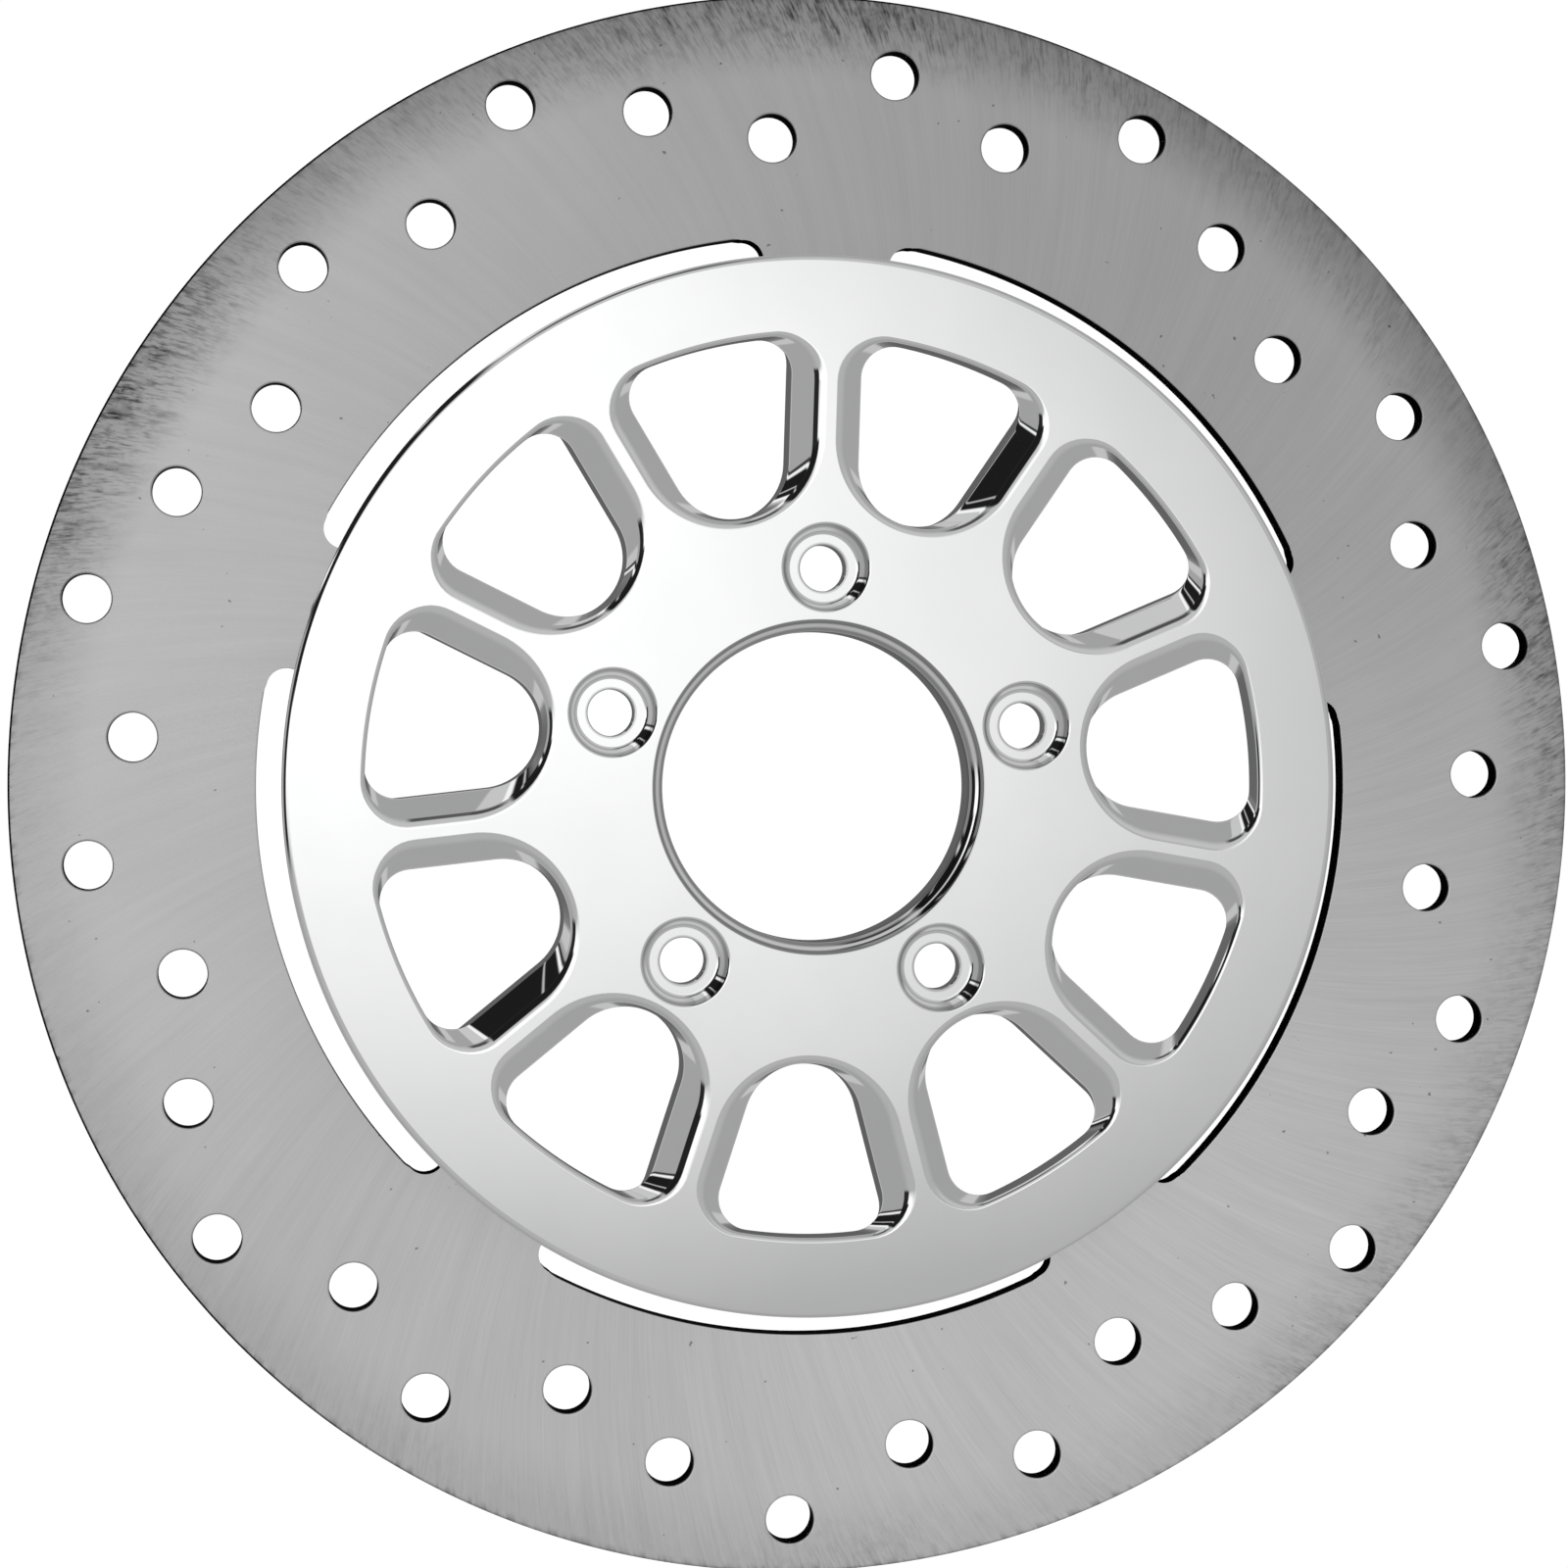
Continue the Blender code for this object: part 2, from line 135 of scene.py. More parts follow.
class Shell:
    """A closed surface, gathered row by row, with a shading normal for every point."""

    def __init__(self):
        self.points, self.normals, self.faces, self.count = [], [], [], 0

    def row(self, xy, z, normal):
        n = len(xy)
        z = np.broadcast_to(z, (n,))
        normal = np.broadcast_to(normal, (n, 3)).astype(float)
        normal = normal / np.linalg.norm(normal, axis=1)[:, None]
        self.points.append(np.c_[xy[:, 0], xy[:, 1], z])
        self.normals.append(normal)
        ids = np.arange(self.count, self.count + n)
        self.count += n
        return ids

    def band(self, a, b):
        a2, b2 = np.roll(a, -1), np.roll(b, -1)
        self.faces.extend(zip(a.tolist(), a2.tolist(), b2.tolist(), b.tolist()))

    def bands(self, rows):
        for a, b in zip(rows, rows[1:]):
            self.band(a, b)

    def cap(self, ids):
        self.faces.append(tuple(ids.tolist()))

    def web(self, edge, gaps):
        """Fills the flat face between one outer row and the rows of its openings."""
        at = np.concatenate(self.points)
        loops = [edge, *gaps]
        ids = np.concatenate(loops)
        links, start = [], 0
        for loop in loops:
            n = len(loop)
            links += [(start + i, start + (i + 1) % n) for i in range(n)]
            start += n
        scale = 1000.0
        flat = [Vector((x * scale, y * scale)) for x, y in at[ids, :2]]
        out, _, tris, source, _, _ = delaunay_2d_cdt(flat, links, [], 0, 1e-4)
        if len(out) != len(flat) or any(len(s) != 1 for s in source):
            raise RuntimeError("rows of a flat face meet or cross")
        ids = ids[[s[0] for s in source]]
        out = np.array([(p.x, p.y) for p in out]) / scale
        tris = np.array(tris)
        middle = out[tris].mean(axis=1)
        keep = inside(middle, at[edge, :2])
        for gap in gaps:
            keep &= ~inside(middle, at[gap, :2])
        self.faces.extend(map(tuple, ids[tris[keep]].tolist()))

    def build(self, name, material):
        mesh = bpy.data.meshes.new(name)
        mesh.from_pydata(np.concatenate(self.points).tolist(), [], self.faces)
        made = bmesh.new()
        made.from_mesh(mesh)
        bmesh.ops.recalc_face_normals(made, faces=made.faces)
        made.to_mesh(mesh)
        made.free()
        mesh.shade_smooth()
        mesh.normals_split_custom_set_from_vertices(np.concatenate(self.normals).tolist())
        mesh.materials.append(material)
        piece = bpy.data.objects.new(name, mesh)
        bpy.context.scene.collection.objects.link(piece)
        return piece


def fillet_rows(start, turn, radius, steps):
    """Offsets along and below a flat face for a rounded edge that turns by
    `turn` into a wall: (along, down, normal along, normal up)."""
    tangent = radius * np.tan(turn / 2)
    return [
        (
            start - tangent + radius * np.sin(turn * k / steps),
            radius - radius * np.cos(turn * k / steps),
            np.sin(turn * k / steps),
            np.cos(turn * k / steps),
        )
        for k in range(steps + 1)
    ]


def lathe(shell, profile, steps, centre=(0.0, 0.0)):
    """Rows of a turned surface for a profile of (r, z, nr, nz); returns their ids."""
    rows = []
    for r, z, nr, nz in profile:
        c = circle(1.0, steps)
        xy = np.c_[centre[0] + r * c[:, 0], centre[1] + r * c[:, 1]]
        rows.append(shell.row(xy, z, np.c_[c[:, 2] * nr, c[:, 3] * nr, np.full(steps, nz)]))
    shell.bands(rows)
    return rows


def rounded(corners, radii, steps=4, closed=False):
    """A profile of (r, z, nr, nz) through corners (r, z), each rounded by its
    radius. The material lies to the left of the way the corners run, so the
    normals point right."""
    pts = [np.array(c, float) for c in corners]
    n = len(pts)
    out = []
    for i in range(n):
        if not closed and i in (0, n - 1):
            a, b = (pts[0], pts[1]) if i == 0 else (pts[-2], pts[-1])
            d = (b - a) / np.linalg.norm(b - a)
            out.append((*pts[i], d[1], -d[0]))
            continue
        a, p, b = pts[i - 1], pts[i], pts[(i + 1) % n]
        u, v = (p - a) / np.linalg.norm(p - a), (b - p) / np.linalg.norm(b - p)
        bend = math.atan2(u[0] * v[1] - u[1] * v[0], u @ v)
        reach = radii[i] * math.tan(abs(bend) / 2)
        reach = min(reach, 0.49 * np.linalg.norm(p - a), 0.49 * np.linalg.norm(b - p))
        radius = reach / max(math.tan(abs(bend) / 2), 1e-9)
        side = 1.0 if bend > 0 else -1.0
        centre = p - u * reach + side * radius * np.array([-u[1], u[0]])
        first = p - u * reach - centre
        for k in range(steps + 1):
            t = bend * k / steps
            c, s = math.cos(t), math.sin(t)
            q = centre + np.array([c * first[0] - s * first[1], s * first[0] + c * first[1]])
            d = np.array([c * u[0] - s * u[1], s * u[0] + c * u[1]])
            out.append((q[0], q[1], d[1], -d[0]))
    return out


# ---- material tools ---------------------------------------------------------
class Nodes:
    """Short names for the nodes of one shader tree."""

    def __init__(self, tree):
        self.tree = tree

    def new(self, kind, **sockets):
        node = self.tree.nodes.new(kind)
        for key, value in sockets.items():
            self.put(node, key.replace("_", " "), value)
        return node

    def put(self, node, key, value):
        socket = node.inputs[int(key)] if key.isdigit() else node.inputs[key]
        if isinstance(value, bpy.types.NodeSocket):
            self.tree.links.new(value, socket)
        else:
            socket.default_value = value

    def math(self, operation, a, b=0.0, c=0.0, clamp=False):
        node = self.tree.nodes.new("ShaderNodeMath")
        node.operation, node.use_clamp = operation, clamp
        for i, value in enumerate((a, b, c)):
            self.put(node, str(i), value)
        return node.outputs[0]

    def smooth(self, value, low, high, to_low=0.0, to_high=1.0):
        node = self.tree.nodes.new("ShaderNodeMapRange")
        node.interpolation_type = "SMOOTHSTEP"
        self.put(node, "Value", value)
        for key, number in (("From Min", low), ("From Max", high), ("To Min", to_low), ("To Max", to_high)):
            self.put(node, key, number)
        return node.outputs[0]

    def mix(self, share, a, b):
        node = self.tree.nodes.new("ShaderNodeMix")
        node.data_type = "FLOAT"
        for i, value in ((0, share), (2, a), (3, b)):
            self.put(node, str(i), value)
        return node.outputs[0]

    def mix_colour(self, share, a, b):
        node = self.tree.nodes.new("ShaderNodeMix")
        node.data_type = "RGBA"
        self.put(node, "0", share)
        self.put(node, "6", a)
        self.put(node, "7", b)
        return node.outputs[2]

    def noise(self, vector, scale, detail=2.0, rough=0.5, lacunarity=2.0):
        node = self.tree.nodes.new("ShaderNodeTexNoise")
        node.noise_dimensions = "3D"
        self.put(node, "Vector", vector)
        for key, number in (("Scale", scale), ("Detail", detail), ("Roughness", rough), ("Lacunarity", lacunarity)):
            self.put(node, key, number)
        return node.outputs["Fac"]

    def grey(self, value):
        node = self.tree.nodes.new("ShaderNodeCombineColor")
        for i in range(3):
            self.put(node, str(i), value)
        return node.outputs[0]

    def place(self):
        return self.tree.nodes.new("ShaderNodeTexCoord").outputs["Object"]

    def split(self, vector):
        node = self.tree.nodes.new("ShaderNodeSeparateXYZ")
        self.put(node, "0", vector)
        return node.outputs

    def join(self, x, y, z):
        node = self.tree.nodes.new("ShaderNodeCombineXYZ")
        for i, value in enumerate((x, y, z)):
            self.put(node, str(i), value)
        return node.outputs[0]

    def vector(self, operation, a, b=(0.0, 0.0, 0.0)):
        node = self.tree.nodes.new("ShaderNodeVectorMath")
        node.operation = operation
        self.put(node, "0", a)
        if operation == "SCALE":
            self.put(node, "Scale", b)
        elif operation != "NORMALIZE":
            self.put(node, "1", b)
        return node.outputs[0]

    def bump(self, height, distance, strength=1.0):
        node = self.tree.nodes.new("ShaderNodeBump")
        self.put(node, "Height", height)
        self.put(node, "Distance", distance)
        self.put(node, "Strength", strength)
        return node.outputs[0]


def metal(name, colour, roughness):
    """A metal whose even values sit on its own sockets; returns it with its nodes."""
    made = bpy.data.materials.new(name)
    made.use_nodes = True
    shader = made.node_tree.nodes["Principled BSDF"]
    shader.inputs["Base Color"].default_value = (*colour, 1.0)
    shader.inputs["Metallic"].default_value = 1.0
    shader.inputs["Roughness"].default_value = roughness
    return made, Nodes(made.node_tree), shader


def chrome():
    """Bright plate over a polished casting: even, with the faintest haze and swirl, and thin lines of painted shade at
    the bore lip and the bolt seats.
    """
    made, n, shader = metal("chrome_plate_finish", (0.935, 0.936, 0.940), 0.03)
    at = n.place()
    haze = n.noise(at, 38.0, 3.0, 0.55)
    fine = n.noise(at, 900.0, 2.0, 0.5)
    n.put(shader, "Roughness", n.math("ADD", n.smooth(haze, 0.40, 0.75, 0.018, 0.050), n.math("MULTIPLY", fine, 0.010)))
    tint = n.mix_colour(n.smooth(haze, 0.3, 0.7), (0.935, 0.936, 0.940, 1.0), (0.908, 0.910, 0.916, 1.0))
    # painted shade: above 15 mm the base colour is darkened in thin lines at the edges of the bore lip and the bolt
    # seats, standing in for the dark reflection there
    x, y, z = n.split(at)
    r = n.math("SQRT", n.math("ADD", n.math("MULTIPLY", x, x), n.math("MULTIPLY", y, y)))
    turn = n.math("SUBTRACT", n.math("ARCTAN2", y, x), BOLT_PHASE - math.pi / LUGS)
    turn = n.math("SUBTRACT", n.math("FLOORED_MODULO", turn, TAU / LUGS), math.pi / LUGS)
    along = n.math("SUBTRACT", n.math("MULTIPLY", r, n.math("COSINE", turn)), BOLT_CIRCLE_R)
    across = n.math("MULTIPLY", r, n.math("SINE", turn))
    seat = n.math("SQRT", n.math("ADD", n.math("MULTIPLY", along, along), n.math("MULTIPLY", across, across)))

    def line(distance, middle, half, depth):
        off = n.math("ABSOLUTE", n.math("SUBTRACT", distance, middle))
        return n.smooth(off, half, half * 0.3, 1.0, depth)
    painted_edge_shade = n.math("MULTIPLY", line(r, BORE_R + LIP_W - 0.00035, 0.00055, 0.42), line(r, BORE_R + 0.00035, 0.00060, 0.55))
    painted_edge_shade = n.math("MULTIPLY", painted_edge_shade, n.math("MULTIPLY", line(seat, BOLT_MOUTH_R - 0.00025, 0.00042, 0.50), line(seat, BOLT_HOLE_R + 0.0003, 0.0003, 0.70)))
    painted_edge_shade = n.mix(n.smooth(z, 0.0150, 0.0160), 1.0, painted_edge_shade)
    tint = n.vector("MULTIPLY", tint, n.join(painted_edge_shade, painted_edge_shade, painted_edge_shade))
    n.put(shader, "Base Color", tint)
    n.put(shader, "Normal", n.bump(n.noise(at, 160.0, 2.0, 0.5), 0.000003, 0.35))
    return made


def ground_steel():
    """Stainless friction band: ground across its width, so fine lines run
    outward with a slight swirl, with darker drag marks near both edges."""
    made, n, shader = metal("ground_stainless_finish", (0.5, 0.5, 0.5), 0.36)
    shader.inputs["Specular Tint"].default_value = (0.25, 0.25, 0.25, 1.0)
    at = n.place()
    x, y, z = n.split(at)
    r = n.math("SQRT", n.math("ADD", n.math("MULTIPLY", x, x), n.math("MULTIPLY", y, y)))
    # the lines lean a little: the angle slips as the radius grows
    wander = n.noise(at, 6.0, 1.0, 0.5)
    lean = n.math("ADD", n.math("MULTIPLY", r, -2.7), n.math("MULTIPLY", wander, 0.10))
    spin = n.tree.nodes.new("ShaderNodeVectorRotate")
    spin.rotation_type = "Z_AXIS"
    n.put(spin, "Vector", n.vector("NORMALIZE", n.join(x, y, 0.0)))
    n.put(spin, "Angle", lean)
    u, v, _ = n.split(spin.outputs[0])
    def lines(count, stretch, seed, detail=3.0, rough=0.6):
        place = n.join(n.math("MULTIPLY", u, count), n.math("MULTIPLY", v, count), n.math("ADD", n.math("MULTIPLY", r, stretch), seed))
        return n.noise(place, 1.0, detail, rough)
    fine = lines(300.0, 60.0, 0.0, 3.0, 0.65)
    broad = lines(46.0, 18.0, 7.0, 3.0, 0.6)
    slow = n.noise(at, 17.0, 3.0, 0.55)
    # dark drags: short strokes that thicken toward the outer edge, in patches
    edge = n.smooth(r, 0.1330, 0.1495)
    patch = n.smooth(n.noise(at, 11.0, 2.0, 0.5), 0.42, 0.60)
    stroke = n.smooth(lines(120.0, 150.0, 21.0, 2.0, 0.6), 0.48, 0.70)
    mottle = n.smooth(n.noise(at, 240.0, 3.0, 0.65), 0.48, 0.66)
    # stronger toward the top of the band
    side = n.smooth(n.math("DIVIDE", n.math("ADD", n.math("MULTIPLY", x, 0.05), y), r), -0.25, 0.55, 0.30, 1.0)
    chatter = n.smooth(lines(280.0, 380.0, 33.0, 2.0, 0.6), 0.46, 0.66)
    drag = n.math("MULTIPLY", n.math("ADD", n.math("MULTIPLY", patch, 0.75), 0.25), n.math("ADD", n.math("MULTIPLY", stroke, 0.50), n.math("ADD", n.math("MULTIPLY", chatter, 0.55), n.math("MULTIPLY", mottle, 0.35))))
    drag = n.math("MULTIPLY", n.math("MULTIPLY", edge, side), drag, clamp=True)
    lip = n.smooth(r, 0.1482, 0.1499)
    rub = n.math("MULTIPLY", lip, n.smooth(lines(90.0, 10.0, 3.0, 2.0, 0.5), 0.40, 0.66))
    specks = n.smooth(n.noise(at, 620.0, 1.0, 0.5), 0.79, 0.82)
    tone = n.math("ADD", 0.62, n.math("MULTIPLY", n.math("SUBTRACT", fine, 0.5), 0.15))
    tone = n.math("ADD", tone, n.math("MULTIPLY", n.math("SUBTRACT", broad, 0.5), 0.09))
    tone = n.math("ADD", tone, n.math("MULTIPLY", n.math("SUBTRACT", slow, 0.5), 0.12))
    tone = n.math("MULTIPLY", tone, n.mix(drag, 1.0, 0.16))
    tone = n.math("MULTIPLY", tone, n.mix(rub, 1.0, 0.62))
    tone = n.math("MULTIPLY", tone, n.mix(specks, 1.0, 0.45))
    # painted light and shade: the band is a little darker toward the upper right, and lighter or darker round the disc
    # by angle, where the light falls unevenly on it
    tint = n.math("DIVIDE", n.math("ADD", n.math("MULTIPLY", x, 0.05), n.math("MULTIPLY", y, 0.19)), r)
    tone = n.math("MULTIPLY", tone, n.math("SUBTRACT", 0.96, tint))
    painted_light_sideways = n.math("DIVIDE", n.math("SUBTRACT", n.math("MULTIPLY", x, 0.09), n.math("MULTIPLY", y, 0.03)), r)
    cross = n.math("DIVIDE", n.math("MULTIPLY", n.math("MULTIPLY", x, y), -0.12), n.math("MULTIPLY", r, r))
    tone = n.math("MULTIPLY", tone, n.math("ADD", 1.115, n.math("ADD", painted_light_sideways, cross)))
    # and toward its outer edge
    outer_darkening = n.math("MULTIPLY", n.smooth(r, 0.1330, 0.1500), n.math("MULTIPLY", side, 0.36))
    tone = n.math("MULTIPLY", tone, n.math("SUBTRACT", 1.0, outer_darkening))
    # painted shade: every side wall, those of the slot, lugs, holes and outer edge, is painted nearly black, standing
    # in for shade and dark reflection on them, with cutter marks
    facing = n.split(n.tree.nodes.new("ShaderNodeTexCoord").outputs["Normal"])[2]
    wall = n.smooth(n.math("ABSOLUTE", facing), 0.75, 0.35)
    cutter_marks_and_painted_shade = n.smooth(n.noise(n.vector("MULTIPLY", at, (300.0, 300.0, 2200.0)), 1.0, 2.0, 0.6), 0.3, 0.7, 0.006, 0.022)
    tone = n.mix(wall, tone, cutter_marks_and_painted_shade)
    # painted reflection: a nearly black line on the rounding of the outer edge, on the upper left part only, standing
    # in for the reflection of the studio's dark flag
    painted_edge_reflection = n.math("MULTIPLY", n.smooth(n.math("ABSOLUTE", facing), 0.985, 0.90), n.smooth(r, 0.1488, 0.1492))
    painted_edge_reflection = n.math("MULTIPLY", painted_edge_reflection, n.smooth(n.math("SUBTRACT", n.math("MULTIPLY", y, 0.6), x), -0.02, 0.05))
    tone = n.mix(painted_edge_reflection, tone, 0.012)
    n.put(shader, "Base Color", n.grey(tone))
    n.put(shader, "Roughness", n.math("ADD", 0.30, n.math("ADD", n.math("MULTIPLY", fine, 0.16), n.math("MULTIPLY", drag, 0.12))))
    n.put(shader, "Normal", n.bump(n.math("ADD", fine, n.math("MULTIPLY", broad, 0.4)), 0.00002, 0.4))
    return made


def plain_metal(name, colour, roughness, grain, depth):
    """A small part's finish: turned or barrelled, with mottled tone and dulled patches."""
    made, n, shader = metal(name, colour, roughness)
    at = n.place()
    mottle = n.noise(at, 420.0, 3.0, 0.6)
    turnmark = n.noise(n.vector("MULTIPLY", at, (60.0, 60.0, 2600.0)), 1.0, 2.0, 0.6)
    dark = tuple(c * 0.72 for c in colour)
    n.put(shader, "Base Color", n.mix_colour(n.smooth(mottle, 0.35, 0.7), (*colour, 1.0), (*dark, 1.0)))
    n.put(shader, "Roughness", n.math("ADD", roughness, n.math("MULTIPLY", n.math("SUBTRACT", mottle, 0.5), grain)))
    n.put(shader, "Normal", n.bump(turnmark, depth, 0.5))
    return made


# ---- carrier ----------------------------------------------------------------
def window_outline(size, outer=30, corner=12, inner=36, flank=8):
    """One window centred on +X as rows of (x, y, nx, ny), the normal pointing
    into the opening."""
    inner_r, outer_r, half_spoke, corner_r = size
    half = math.pi / WINDOWS
    centre = (inner_r - half_spoke) / (1 - math.sin(half))
    end_r = centre - inner_r
    inset = half_spoke + corner_r
    along = math.sqrt((outer_r - corner_r) ** 2 - inset**2)
    hub = (along * math.cos(half) + inset * math.sin(half), along * math.sin(half) - inset * math.cos(half))
    reach = math.atan2(hub[1], hub[0])
    side = half + math.pi / 2
    top = arc((0.0, 0.0), outer_r, -reach, reach, outer)
    one = arc(hub, corner_r, reach, side, corner)
    end = arc((centre, 0.0), end_r, side, TAU - side, inner)
    two = arc((hub[0], -hub[1]), corner_r, -side, -reach, corner)
    rows = np.concatenate([
        top, one[1:], between(one[-1], end[0], flank), end, between(end[-1], two[0], flank), two[:-1],
    ])
    rows[:, 2:] *= -1
    return rows


def carrier_piece(material):
    s = Shell()
    # outer rim, from the front face round to the back
    rim = rounded(
        [(RIM_OUT_R - 0.006, FRONT_Z), (RIM_OUT_R, FRONT_Z), (RIM_OUT_R, RIM_BACK_Z), (RIM_OUT_R - 0.003, RIM_BACK_Z)],
        [0, 0.0013, 0.0005, 0], 8,
    )[1:-1]
    rim = [(r, z, -nr, -nz) for r, z, nr, nz in rim]
    edge = lathe(s, rim, 360)
    # bore, from the front face's chamfer down to the mounting face
    out_r, soft = BORE_R + LIP_W, 0.0002
    bore = []
    for k in range(5):
        a = math.radians(86) * k / 4
        bore.append((out_r - soft * math.sin(a), FRONT_Z - soft * (1 - math.cos(a)), -math.sin(a), math.cos(a)))
    # a shallow cove, then a wide round over into the bore
    wide, deep = 0.0011, 0.0015
    for k in range(1, 10):
        a = math.radians(75) * k / 9
        nr, nz = -math.cos(a) / wide, math.sin(a) / deep
        size = math.hypot(nr, nz)
        bore.append((out_r - soft - wide * (1 - math.cos(a)), FRONT_Z - soft - deep * math.sin(a), nr / size, nz / size))
    last_r, last_z, nr, nz = bore[-1]
    start = math.atan2(-nr, nz)
    radius = (last_r - BORE_R) / (1 - math.sin(start))
    for k in range(1, 15):
        a = start + (math.pi / 2 - start) * k / 14
        bore.append((last_r - radius * (math.sin(a) - math.sin(start)), last_z - radius * (math.cos(start) - math.cos(a)), -math.sin(a), math.cos(a)))
    bore += rounded(
        [(BORE_R, bore[-1][1] - 0.0005), (BORE_R, BORE_RELIEF_Z), (BORE_RELIEF_R, BORE_RELIEF_Z),
         (BORE_RELIEF_R, HUB_Z), (BORE_RELIEF_R + 0.004, HUB_Z)],
        [0, 0.0003, 0.0005, 0.0007, 0], 7,
    )[:-1]
    hole = lathe(s, bore, 288)
    # mounting boss on the back
    boss = rounded(
        [(HUB_BACK_R - 0.004, HUB_Z), (HUB_BACK_R, HUB_Z), (HUB_BACK_R, BACK_Z), (HUB_BACK_R + 0.003, BACK_Z)],
        [0, 0.0006, 0.0006, 0], 6,
    )[1:-1]
    hub = lathe(s, boss, 240)
    # locating skirt behind the windows, up to the level back of the rim
    skirt = rounded(
        [(SKIRT_R - 0.003, BACK_Z), (SKIRT_R, BACK_Z), (SKIRT_R, RIM_BACK_Z), (SKIRT_R + 0.003, RIM_BACK_Z)],
        [0, 0.0003, 0.0004, 0], 5,
    )[1:-1]
    skirt = lathe(s, skirt, 360)
    # windows
    front_gaps, back_gaps = [], []
    front, back, below = (window_outline(size) for size in (WINDOW_FRONT, WINDOW_BACK, WINDOW_LOW))
    lean = np.arctan2(np.sum((back[:, :2] - front[:, :2]) * front[:, 2:], axis=1), DRAFT_DEPTH)
    share = np.clip(lean / lean.max(), 0, 1)
    rim_side = np.clip((np.hypot(front[:, 0], front[:, 1]) - 0.079) / 0.004, 0, 1)
    top_r = 0.0014 + 0.0014 * share - 0.0005 * rim_side
    mid_r = 0.0012 + 0.0022 * share
    for i in range(WINDOWS):
        angle = SPOKE_PHASE + TAU * (i + 0.5) / WINDOWS
        f, b, w = turned(front, angle), turned(back, angle), turned(below, angle)
        drift = (b[:, :2] - f[:, :2]) - f[:, 2:] * (np.tan(lean) * DRAFT_DEPTH)[:, None]
        rows = []
        for u, down, na, nu in fillet_rows(0.0, math.pi / 2 - lean, top_r, 10):
            xy = f[:, :2] + f[:, 2:] * u[:, None] + drift * (down / DRAFT_DEPTH)[:, None]
            rows.append(s.row(xy, FRONT_Z - down, np.c_[f[:, 2:] * na[:, None], nu]))
        front_gaps.append(rows[0])
        # wall, easing from its slope into the straight lower part
        reach = mid_r * np.tan(lean / 2)
        for k in range(7):
            t = k / 6
            turn = lean * t
            along = -reach * np.sin(lean) + mid_r * (np.cos(lean - turn) - np.cos(lean))
            down = DRAFT_DEPTH - reach * np.cos(lean) + mid_r * (np.sin(lean) - np.sin(lean - turn))
            n2 = f[:, 2:] * (1 - t) + b[:, 2:] * t
            xy = b[:, :2] + b[:, 2:] * along[:, None] - drift * np.clip((DRAFT_DEPTH - down) / DRAFT_DEPTH, 0, 1)[:, None]
            rows.append(s.row(xy, FRONT_Z - down, np.c_[n2 * np.cos(lean - turn)[:, None], np.sin(lean - turn)]))
        # undercut toward the rim
        start = DRAFT_DEPTH + reach
        step = w[:, :2] - b[:, :2]
        rise = np.sum(step * b[:, 2:], axis=1)
        side = np.c_[w[:, 2:], np.zeros(len(w))]
        slant = np.c_[b[:, 2:] * UNDERCUT, rise]
        for share, normal in ((0.1, slant), (0.9, slant)):
            rows.append(s.row(b[:, :2] + step * share, FRONT_Z - start - UNDERCUT * share, normal))
        rows.append(s.row(w[:, :2], FRONT_Z - start - UNDERCUT * 1.15, side))
        # bottom edge
        soft = 0.0004
        for k in range(5):
            a = math.pi / 2 * k / 4
            xy = w[:, :2] - w[:, 2:] * soft * (1 - math.cos(a))
            rows.append(s.row(xy, BACK_Z + soft * (1 - math.sin(a)), side * math.cos(a) + np.array([0.0, 0.0, -math.sin(a)])))
        s.bands(rows)
        back_gaps.append(rows[-1])
    # wheel bolt holes
    bolt_front, bolt_back = [], []
    step = FRONT_Z - BOLT_SEAT_DEPTH
    profile = rounded(
        [(BOLT_MOUTH_R + 0.003, FRONT_Z), (BOLT_MOUTH_R, FRONT_Z), (BOLT_SEAT_R + 0.0002, step), (BOLT_HOLE_R, step),
         (BOLT_HOLE_R, BOLT_RELIEF_Z), (BOLT_RELIEF_R, BOLT_RELIEF_Z - 0.0008), (BOLT_RELIEF_R, HUB_Z), (BOLT_RELIEF_R + 0.002, HUB_Z)],
        [0, 0.0006, 0.0008, 0.00025, 0.0002, 0.0003, 0.0004, 0], 6,
    )[1:-1]
    for i in range(LUGS):
        angle = BOLT_PHASE - TAU * i / LUGS
        centre = (BOLT_CIRCLE_R * math.cos(angle), BOLT_CIRCLE_R * math.sin(angle))
        rows = lathe(s, profile, 72, centre)
        bolt_front.append(rows[0])
        bolt_back.append(rows[-1])
    # blind tapped holes in the back of the rim
    pins = []
    for i in range(LUGS):
        angle = LUG_PHASE - TAU * i / LUGS
        centre = (PIN_R * math.cos(angle), PIN_R * math.sin(angle))
        rows = lathe(s, [(0.0031, RIM_BACK_Z, 0.0, -1.0), (0.0028, RIM_BACK_Z + 0.0003, -1.0, -0.4),
                         (0.0027, RIM_BACK_Z + 0.0010, -1.0, 0.0), (0.0027, 0.0178, -1.0, 0.0), (0.0024, 0.0182, -1.0, -1.0)], 32, centre)
        pins.append(rows[0])
        s.cap(rows[-1])
    s.web(edge[0], [hole[0], *front_gaps, *bolt_front])
    s.web(hub[0], [hole[-1], *bolt_back])
    s.web(skirt[0], [hub[-1], *back_gaps])
    s.web(edge[-1], [skirt[-1], *pins])
    return s.build("carrier_show", material)


